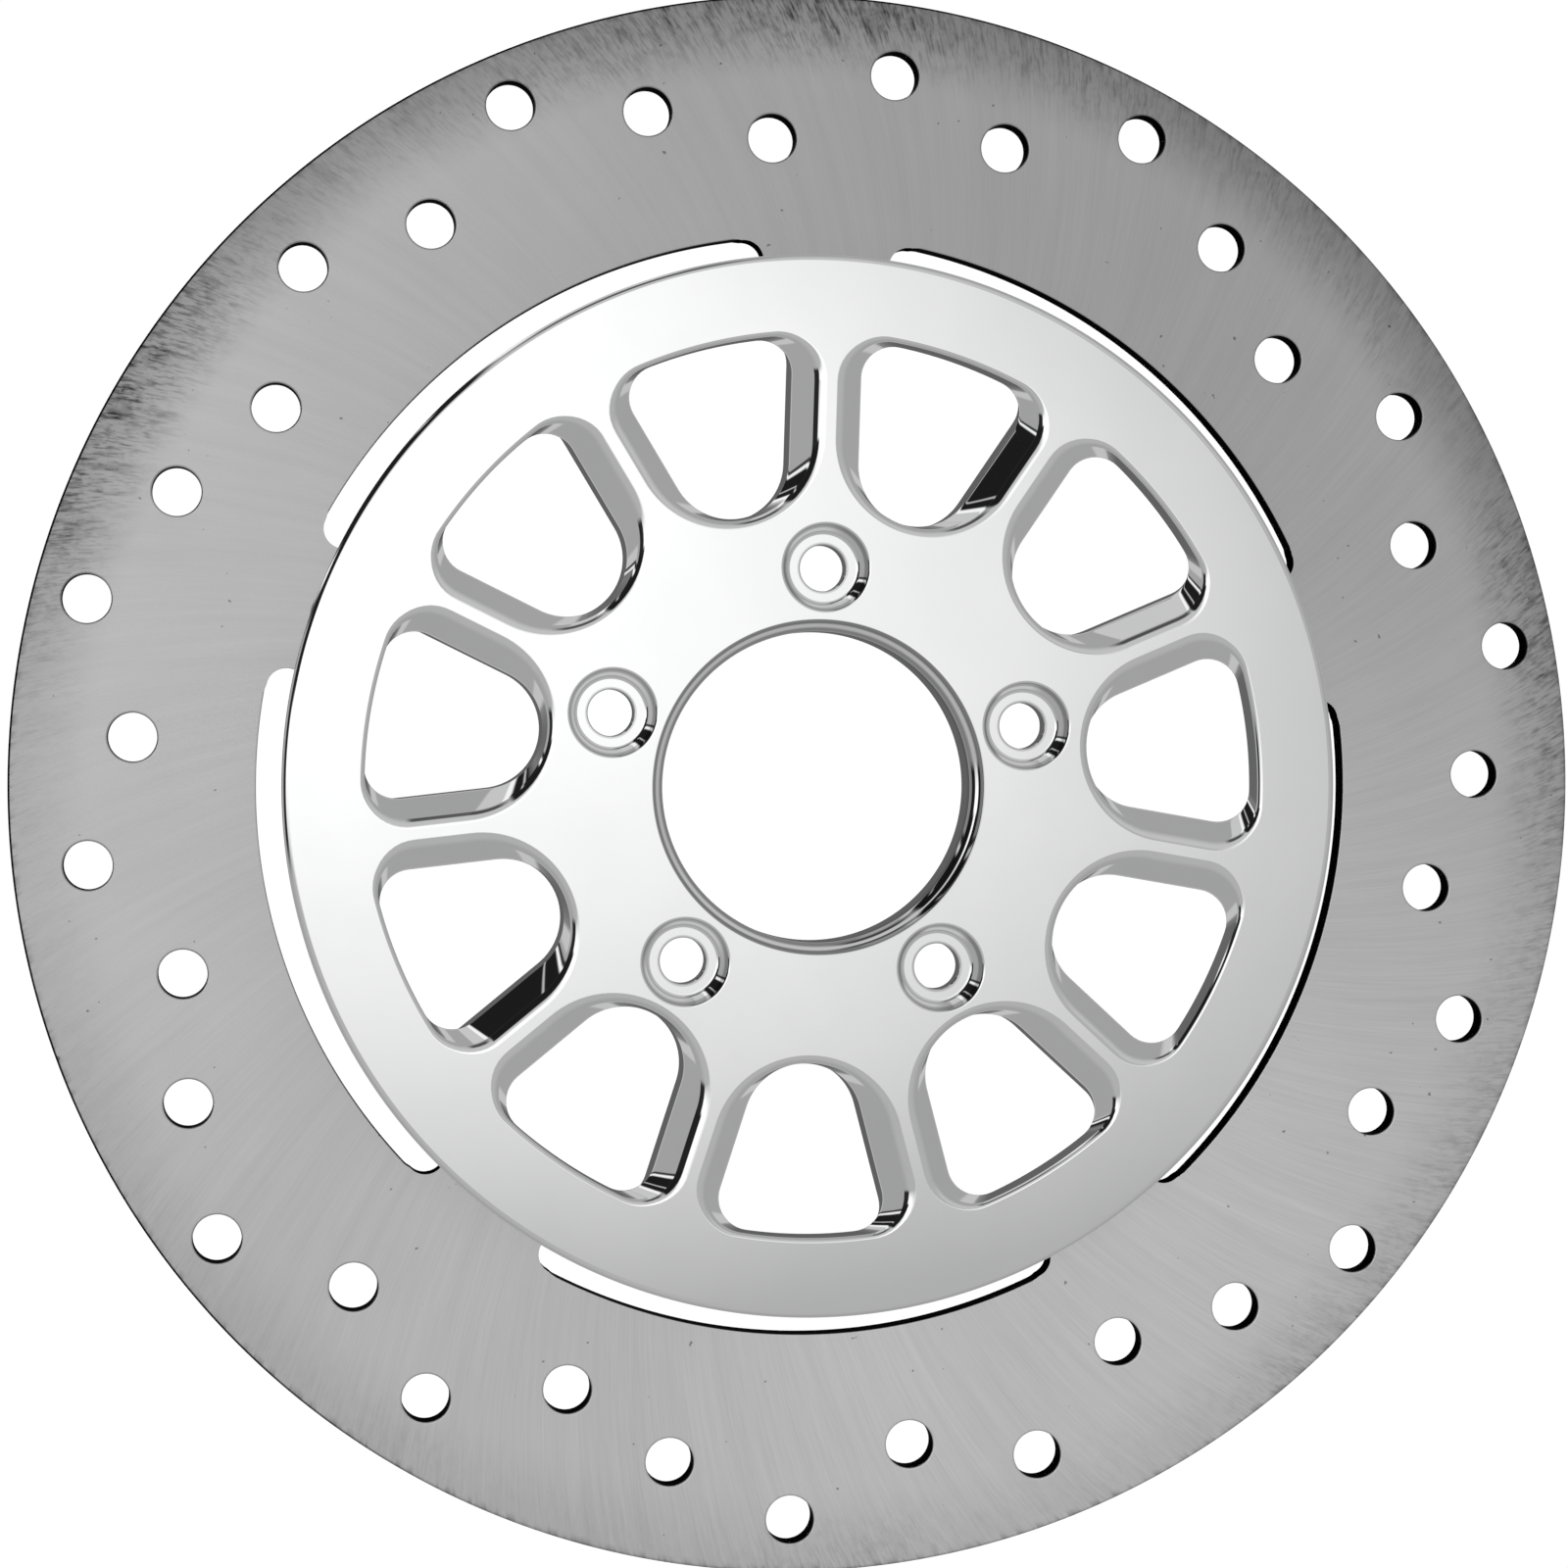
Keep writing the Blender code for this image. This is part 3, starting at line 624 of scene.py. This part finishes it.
# ---- friction ring ----------------------------------------------------------
def ring_inner():
    """The ring's inner edge with its five lugs, normals pointing into the opening."""
    rows, pitch = [], TAU / LUGS
    for i in range(LUGS):
        middle = LUG_PHASE + pitch * i
        root_y = LUG_HALF + LUG_ROOT_ROUND
        root_x = math.sqrt((RING_IN_R - LUG_ROOT_ROUND) ** 2 - root_y**2)
        root_a = math.atan2(root_y, root_x)
        one = arc((root_x, -root_y), LUG_ROOT_ROUND, -root_a, math.pi / 2, 14)
        two = arc((LUG_TIP_R + LUG_TIP_ROUND, -(LUG_HALF - LUG_TIP_ROUND)), LUG_TIP_ROUND, 3 * math.pi / 2, math.pi, 14)
        three = arc((LUG_TIP_R + LUG_TIP_ROUND, LUG_HALF - LUG_TIP_ROUND), LUG_TIP_ROUND, math.pi, math.pi / 2, 14)
        four = arc((root_x, root_y), LUG_ROOT_ROUND, -math.pi / 2, root_a, 14)
        gap = arc((0.0, 0.0), RING_IN_R, root_a, pitch - root_a, 60)
        # normals into the opening: out of the lug's tip, and into the root's hollow
        for part in (one, four, gap):
            part[:, 2:] *= -1
        one[:, 2:] *= -1
        four[:, 2:] *= -1
        lug = np.concatenate([one, two, three, four, gap[1:-1]])
        rows.append(turned(lug, middle))
    rows = np.concatenate(rows)
    keep = np.linalg.norm(rows[:, :2] - np.roll(rows[:, :2], 1, axis=0), axis=1) > 1e-6
    return rows[keep]


def ring_piece(material):
    s = Shell()
    top, bottom = RING_FRONT_Z, RING_BACK_Z

    def wall(rows, sign, soft, steps):
        """A wall between the two faces along an outline, its edges rounded;
        sign is +1 where the normals already point away from the metal."""
        made = []
        normal = rows[:, 2:] * sign
        for k in range(steps + 1):
            a = math.pi / 2 * k / steps
            xy = rows[:, :2] - normal * soft * (1 - math.sin(a))
            made.append(s.row(xy, top - soft * (1 - math.cos(a)), np.c_[normal * math.sin(a), np.full(len(rows), math.cos(a))]))
        for k in range(steps + 1):
            a = math.pi / 2 * k / steps
            xy = rows[:, :2] - normal * soft * (1 - math.cos(a))
            made.append(s.row(xy, bottom + soft * (1 - math.sin(a)), np.c_[normal * math.cos(a), np.full(len(rows), -math.sin(a))]))
        s.bands(made)
        return made[0], made[-1]

    edge = wall(circle(DISC_R, 540), 1.0, 0.0006, 6)
    gaps = [wall(ring_inner(), 1.0, 0.00025, 3)]
    for i in range(HOLES):
        angle = HOLE_PHASE + TAU * i / HOLES
        r = HOLE_CIRCLES[i % len(HOLE_CIRCLES)]
        gaps.append(wall(circle(HOLE_R, 48, (r * math.cos(angle), r * math.sin(angle))), -1.0, 0.0004, 4))
    for i in range(LUGS):
        angle = LUG_PHASE - TAU * i / LUGS
        gaps.append(wall(circle(PIN_HOLE_R, 40, (PIN_R * math.cos(angle), PIN_R * math.sin(angle))), -1.0, 0.0003, 3))
    s.web(edge[0], [g[0] for g in gaps])
    s.web(edge[1], [g[1] for g in gaps])
    return s.build("ring_show", material)


# ---- hardware ---------------------------------------------------------------
def turned_piece(name, corners, radii, steps, centre, material, soft=4):
    """A turned solid from the corners of its section, run so that the metal is on their left."""
    s = Shell()
    profile = rounded(corners, radii, soft, closed=True)
    rows = lathe(s, profile, steps, centre)
    s.band(rows[-1], rows[0])
    return s.build(name, material)


def bobbin_piece(i, centre, material):
    low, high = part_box(f"drive_bobbin_{i}")
    flange = low.z + 0.0009
    return turned_piece(
        f"bobbin_show_{i}",
        [(0.0028, low.z), (0.0064, low.z), (0.0064, flange), (0.0040, flange), (0.0040, high.z), (0.0028, high.z)],
        [0.0002, 0.00025, 0.00025, 0.0003, 0.0003, 0.0002], 64, centre, material,
    )


def washer_piece(i, centre, material):
    low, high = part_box(f"retaining_washer_{i}")
    return turned_piece(
        f"washer_show_{i}",
        [(0.0028, low.z), (0.0056, low.z), (0.0056, high.z), (0.0028, high.z)],
        [0.0001, 0.00022, 0.00008, 0.0001], 72, centre, material,
    )


def wave_piece(i, centre, angle, material):
    low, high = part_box(f"wave_washer_{i}")
    middle, thick = (low.z + high.z) / 2, 0.0004
    swing = (high.z - low.z - thick) / 2
    s = Shell()
    profile = rounded(
        [(0.0044, -thick / 2), (0.0062, -thick / 2), (0.0062, thick / 2), (0.0044, thick / 2)],
        [0.00012] * 4, 3, closed=True,
    )
    rows = []
    c = circle(1.0, 144)
    theta = np.arctan2(c[:, 1], c[:, 0])
    wave = swing * np.cos(3 * (theta - angle))
    slope = -3 * swing * np.sin(3 * (theta - angle))
    for r, z, nr, nz in profile:
        xy = np.c_[centre[0] + r * c[:, 0], centre[1] + r * c[:, 1]]
        tangent = np.c_[-c[:, 1], c[:, 0]] * (-slope / r * nz)[:, None]
        rows.append(s.row(xy, middle + z + wave, np.c_[c[:, :2] * nr + tangent, np.full(len(c), nz)]))
    s.bands(rows)
    s.band(rows[-1], rows[0])
    return s.build(f"wave_washer_show_{i}", material)


def screw_piece(i, centre, angle, material):
    """A button-head screw, head down: domed head with a hex socket, rolled thread."""
    low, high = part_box(f"button_head_screw_{i}")
    head_low, tip = low.z, high.z
    head_top = head_low + 0.0018
    steps = 72
    s = Shell()
    c = circle(1.0, steps)
    theta = np.arctan2(c[:, 1], c[:, 0])
    rows = []

    def ring(r, z, nr, nz):
        r = np.broadcast_to(r, (steps,))
        xy = np.c_[centre[0] + r * c[:, 0], centre[1] + r * c[:, 1]]
        rows.append(s.row(xy, z, np.c_[c[:, 0] * nr, c[:, 1] * nr, np.full(steps, nz)]))

    # hex socket, from its floor out to the head
    flat = 0.0015
    turn = (theta - angle + math.pi / 6) % (math.pi / 3) - math.pi / 6
    hexed = flat / np.cos(turn)
    floor = head_low + 0.0010
    ring(0.2 * hexed, floor + 0.00025, 0.0, -1.0)
    ring(0.95 * hexed, floor, -0.2, -1.0)
    ring(hexed, floor - 0.00008, -1.0, -0.3)
    ring(hexed, head_low + 0.00012, -1.0, -0.1)
    ring(hexed + 0.00012, head_low, -0.5, -1.0)
    # dome
    face = 0.00275
    ring(face, head_low, 0.1, -1.0)
    radius, high_edge = 0.00475, head_top - 0.0004
    for k in range(1, 11):
        a = math.pi / 2 * k / 10
        r = face + (radius - face) * math.sin(a)
        z = high_edge - (high_edge - head_low) * math.cos(a)
        ring(r, z, math.sin(a) * 0.8, -math.cos(a))
    ring(radius, head_top - 0.00008, 1.0, 0.2)
    ring(radius - 0.00008, head_top, 0.3, 1.0)
    ring(0.00285, head_top, -0.1, 1.0)
    # thread on the shank: the radius follows a helix
    pitch, crest, root = 0.0008, 0.00248, 0.00212
    start, end = head_top + 0.0003, tip - 0.0006
    ring(0.00245, start, 1.0, 0.3)
    count = int((end - start) / pitch * 8)
    for k in range(1, count):
        z = start + (end - start) * k / count
        phase = TAU * (z - start) / pitch - theta
        depth = (crest - root) / 2
        ease = min(1.0, k / 10.0, (count - k) / 8.0)
        r = crest - depth * ease * (1 - np.cos(phase))
        lean = -depth * ease * np.sin(phase) * TAU / pitch
        xy = np.c_[centre[0] + r * c[:, 0], centre[1] + r * c[:, 1]]
        rows.append(s.row(xy, z, np.c_[c[:, 0], c[:, 1], -lean]))
    ring(0.0022, end, 1.0, 0.4)
    ring(0.0018, tip, 0.3, 1.0)
    s.bands(rows)
    s.cap(rows[0])
    s.cap(rows[-1])
    return s.build(f"screw_show_{i}", material)


# ---- object -----------------------------------------------------------------
CHROME = chrome()
GROUND = ground_steel()
HARDENED = plain_metal("hardened_steel_finish", (0.40, 0.40, 0.41), 0.30, 0.20, 0.000008)
SPRING = plain_metal("spring_steel_finish", (0.33, 0.35, 0.39), 0.26, 0.16, 0.000004)
ZINC = plain_metal("zinc_plate_finish", (0.66, 0.67, 0.70), 0.27, 0.22, 0.000005)
SCREW = plain_metal("screw_steel_finish", (0.24, 0.24, 0.25), 0.33, 0.20, 0.000006)

piece = carrier_piece(CHROME)
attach(piece, "carrier_body")
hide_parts("carrier")
piece.visible_glossy = False     # the studio alone shows in the plating

piece = ring_piece(GROUND)
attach(piece, "ring_body")
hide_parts("friction_ring")
piece.visible_glossy = False

for i in range(1, LUGS + 1):
    angle = LUG_PHASE - TAU * (i - 1) / LUGS
    centre = (PIN_R * math.cos(angle), PIN_R * math.sin(angle))
    for made, node, slot in (
        (bobbin_piece(i, centre, HARDENED), f"drive_bobbin_{i}", "bobbin_steel"),
        (wave_piece(i, centre, angle, SPRING), f"wave_washer_{i}", "spring_steel"),
        (washer_piece(i, centre, ZINC), f"retaining_washer_{i}", "washer_zinc"),
        (screw_piece(i, centre, angle, SCREW), f"button_head_screw_{i}", "screw_steel"),
    ):
        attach(made, "carrier_body")
        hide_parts(node)
        made.visible_glossy = False


# ---- floor ------------------------------------------------------------------
def floor():
    mesh = bpy.data.meshes.new("floor")
    made = bmesh.new()
    bmesh.ops.create_grid(made, x_segments=8, y_segments=8, size=6.0)
    made.to_mesh(mesh)
    made.free()
    piece = bpy.data.objects.new("floor", mesh)
    piece.location = (0.0, 0.0, CAD_BOX[0].z - 0.0005)
    bpy.context.scene.collection.objects.link(piece)
    finish = bpy.data.materials.new("pale_floor")
    finish.use_nodes = True
    n = Nodes(finish.node_tree)
    for node in list(n.tree.nodes):
        n.tree.nodes.remove(node)
    paper = n.noise(n.place(), 40.0, 2.0, 0.5)
    glow = n.new("ShaderNodeEmission")
    n.put(glow, "Color", n.grey(n.smooth(paper, 0.2, 0.8, 0.995, 1.0)))
    n.put(glow, "Strength", 1.03)
    clear = n.new("ShaderNodeBsdfTransparent")
    side = n.new("ShaderNodeNewGeometry")
    both = n.new("ShaderNodeMixShader")
    n.put(both, "0", side.outputs["Backfacing"])
    n.tree.links.new(glow.outputs[0], both.inputs[1])
    n.tree.links.new(clear.outputs[0], both.inputs[2])
    end = n.new("ShaderNodeOutputMaterial")
    n.tree.links.new(both.outputs[0], end.inputs["Surface"])
    mesh.materials.append(finish)
    piece.visible_diffuse = False
    piece.visible_glossy = False
    piece.visible_shadow = False
    piece.visible_transmission = False


floor()


# ---- light: a soft studio painted by direction ------------------------------
def studio():
    world = bpy.data.worlds.new("studio")
    bpy.context.scene.world = world
    world.use_nodes = True
    n = Nodes(world.node_tree)
    for node in list(n.tree.nodes):
        n.tree.nodes.remove(node)
    where = n.tree.nodes.new("ShaderNodeTexCoord").outputs["Generated"]
    x, y, z = n.split(where)
    up = n.math("MULTIPLY", n.math("ARCSINE", z), 180 / math.pi)
    round_ = n.math("MULTIPLY", n.math("ARCTAN2", y, x), 180 / math.pi)
    # overhead softbox: brightest up and to the left, falling off faster below
    near_x = n.math("MAXIMUM", n.math("MINIMUM", x, 0.35), -0.10)
    near_y = n.math("MAXIMUM", n.math("MINIMUM", y, 0.16), -0.20)
    sky = n.math("ADD", 1.134, n.math("MULTIPLY", near_x, -0.306))
    sky = n.math("ADD", sky, n.math("MULTIPLY", near_y, 2.269))
    sky = n.math("ADD", sky, n.math("MULTIPLY", n.math("MULTIPLY", near_x, near_x), -5.116))
    sky = n.math("ADD", sky, n.math("MULTIPLY", n.math("MULTIPLY", near_x, near_y), -6.989))
    sky = n.math("ADD", sky, n.math("MULTIPLY", n.math("MULTIPLY", near_y, near_y), -13.207))
    sky = n.math("MAXIMUM", n.math("MINIMUM", sky, 1.18), 0.46)
    sky = n.mix(n.smooth(y, 0.18, 0.42), sky, 0.56)
    low = 0.38
    tone = n.mix(n.smooth(up, -4.0, 48.0), low, sky)
    # darker straight below
    tone = n.mix(n.smooth(up, -52.0, -78.0), tone, 0.12)
    # pale card seen only by steep chamfers
    card = n.math("MULTIPLY", n.smooth(up, -50.0, -54.0), n.smooth(up, -66.0, -62.0))
    tone = n.mix(card, tone, 0.56)

    def near(middle, half, soft):
        """1 within a band of compass angles, in degrees."""
        off = n.math("ABSOLUTE", n.math("SUBTRACT", n.math("FLOORED_MODULO", n.math("ADD", n.math("SUBTRACT", round_, middle), 180.0), 360.0), 180.0))
        return n.smooth(off, half + soft, half - soft)

    # black flag at the back left, with a thinner dark bar beside it, for the edges
    above = n.smooth(up, -14.5, -9.0)
    bar = n.math("MULTIPLY", near(103.0, 14.0, 6.0), n.math("MULTIPLY", n.smooth(up, -2.0, 5.0), n.smooth(up, 36.0, 28.0)))
    tone = n.mix(bar, tone, 0.08)
    flag = n.math("MULTIPLY", near(146.0, 24.0, 2.5), n.math("MULTIPLY", above, n.smooth(up, 52.0, 44.0)))
    tone = n.mix(flag, tone, 0.012)
    brow = n.math("MULTIPLY", near(178.0, 12.0, 3.0), n.math("MULTIPLY", above, n.smooth(up, 40.0, 30.0)))
    tone = n.mix(brow, tone, 0.02)
    # narrow bright and dark strips below it, for the corners of the windows
    below = n.math("MULTIPLY", n.smooth(up, -8.0, -13.0), n.smooth(up, -69.0, -62.0))
    for middle, half, level in ((105.0, 9.0, 0.60), (117.5, 3.0, 0.97), (136.0, 14.5, 0.012), (131.8, 0.9, 0.60), (153.5, 2.0, 0.97), (158.0, 2.0, 0.03)):
        tone = n.mix(n.math("MULTIPLY", near(middle, half, 1.5), below), tone, level)
    lit = n.new("ShaderNodeBackground")
    n.put(lit, "Color", n.grey(tone))
    n.put(lit, "Strength", 1.0)
    seen = n.new("ShaderNodeBackground")
    n.put(seen, "Color", (0.93, 0.93, 0.94, 1.0))
    n.put(seen, "Strength", 1.0)
    path = n.new("ShaderNodeLightPath")
    both = n.new("ShaderNodeMixShader")
    n.put(both, "0", path.outputs["Is Camera Ray"])
    n.tree.links.new(lit.outputs[0], both.inputs[1])
    n.tree.links.new(seen.outputs[0], both.inputs[2])
    end = n.new("ShaderNodeOutputWorld")
    n.tree.links.new(both.outputs[0], end.inputs["Surface"])


studio()


# ---- camera: looking down, a little from the left -----------------------------
def camera():
    yaw, pitch = 0.146, 0.017
    away, shift_x, shift_y = 0.700, 0.00515, -0.00045
    scale = 5361.0                     # image px per metre at the ring's face
    cb, sb, cg, sg = math.cos(yaw), math.sin(yaw), math.cos(pitch), math.sin(pitch)
    turn = Matrix(((1, 0, 0), (0, cg, -sg), (0, sg, cg))) @ Matrix(((cb, 0, sb), (0, 1, 0), (-sb, 0, cb)))
    back = turn.transposed()
    place = back @ Vector((-shift_x, -shift_y, away)) + Vector((0.0, 0.0, RING_FRONT_Z))
    data = bpy.data.cameras.new("camera")
    data.sensor_width = 36.0
    data.lens = scale * away / 1600.0 * 36.0
    data.clip_start, data.clip_end = 0.01, 50.0
    made = bpy.data.objects.new("camera", data)
    made.matrix_world = Matrix.Translation(place) @ back.to_4x4()
    bpy.context.scene.collection.objects.link(made)
    bpy.context.scene.camera = made


camera()
bpy.context.scene.view_settings.view_transform = "Standard"
bpy.context.view_layer.update()
